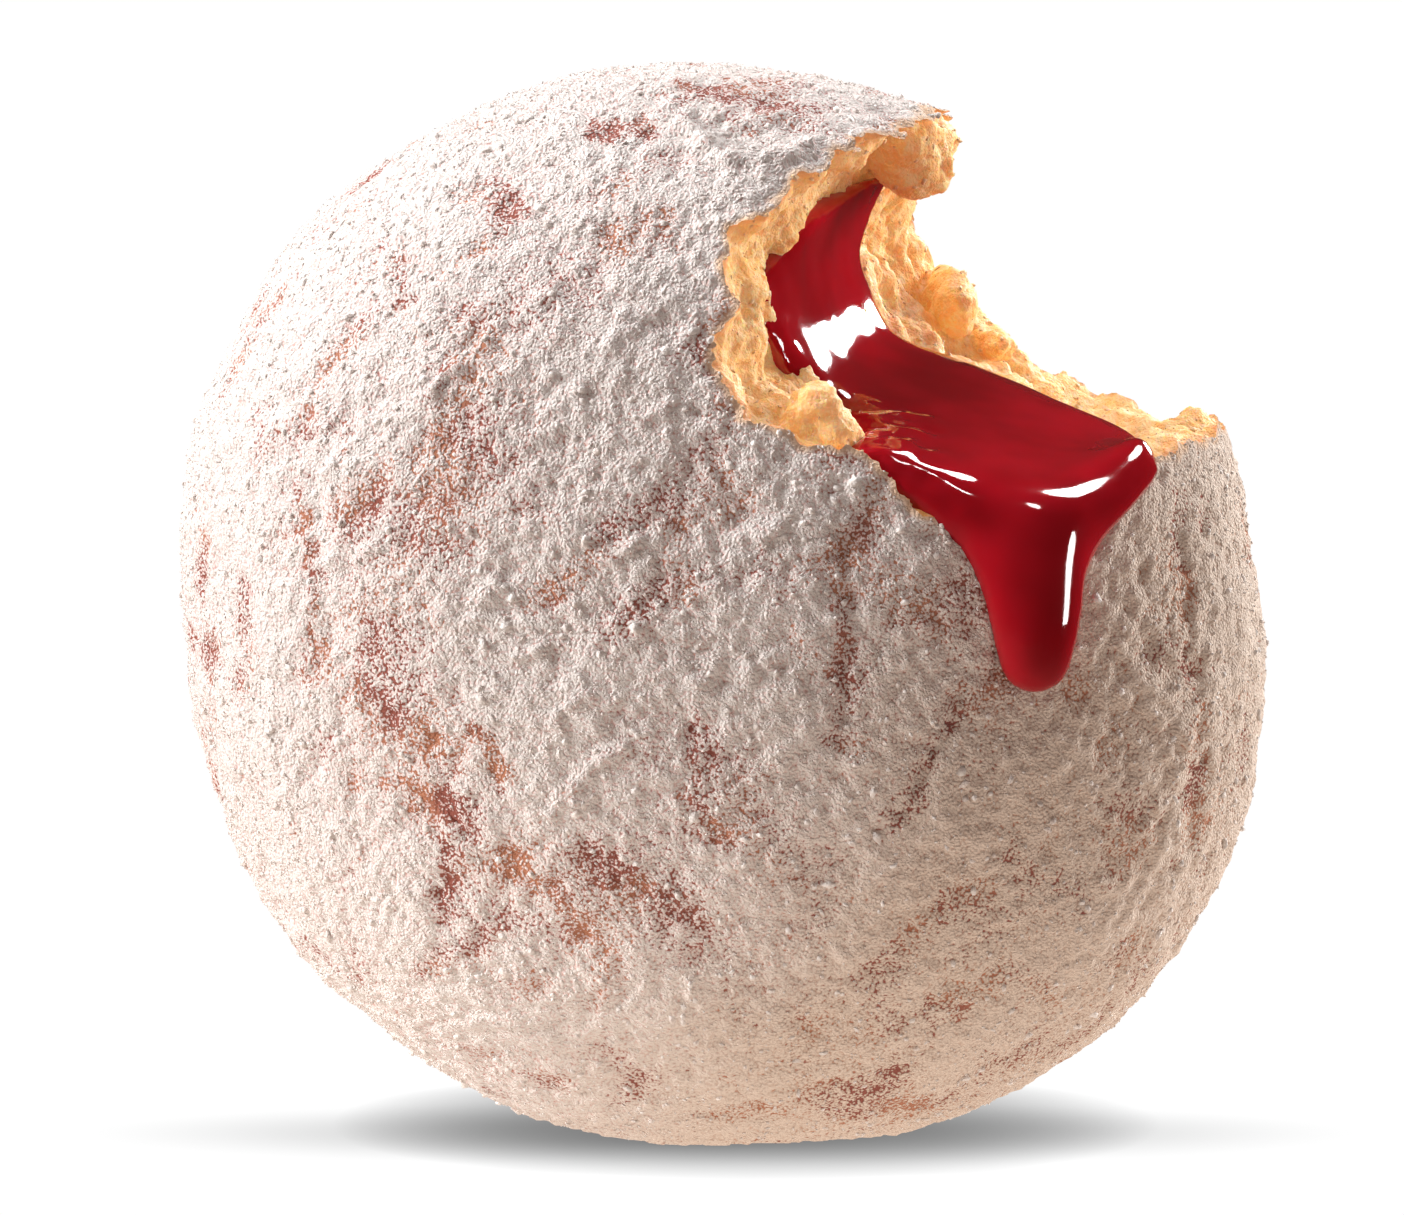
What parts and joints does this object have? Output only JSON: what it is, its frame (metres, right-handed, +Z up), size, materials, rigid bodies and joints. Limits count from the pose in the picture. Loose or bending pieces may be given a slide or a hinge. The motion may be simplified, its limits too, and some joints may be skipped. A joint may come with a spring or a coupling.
{
  "type": "jam doughnut",
  "caption": "Round sugared doughnut with a bite out of its upper right, red jam inside and a drip down the front.",
  "frame": {"origin": "middle of the bounding box, on the surface that the doughnut rests on", "axes": "+Z up, the round front with the drip faces -Y, and the bite is at +X and +Z"},
  "size_m": [0.0872, 0.0672, 0.0856],
  "materials": {
    "dough": null,
    "jam": null
  },
  "bodies": {
    "root": {"dough": "dough", "jam": "jam"}
  },
  "joints": []
}
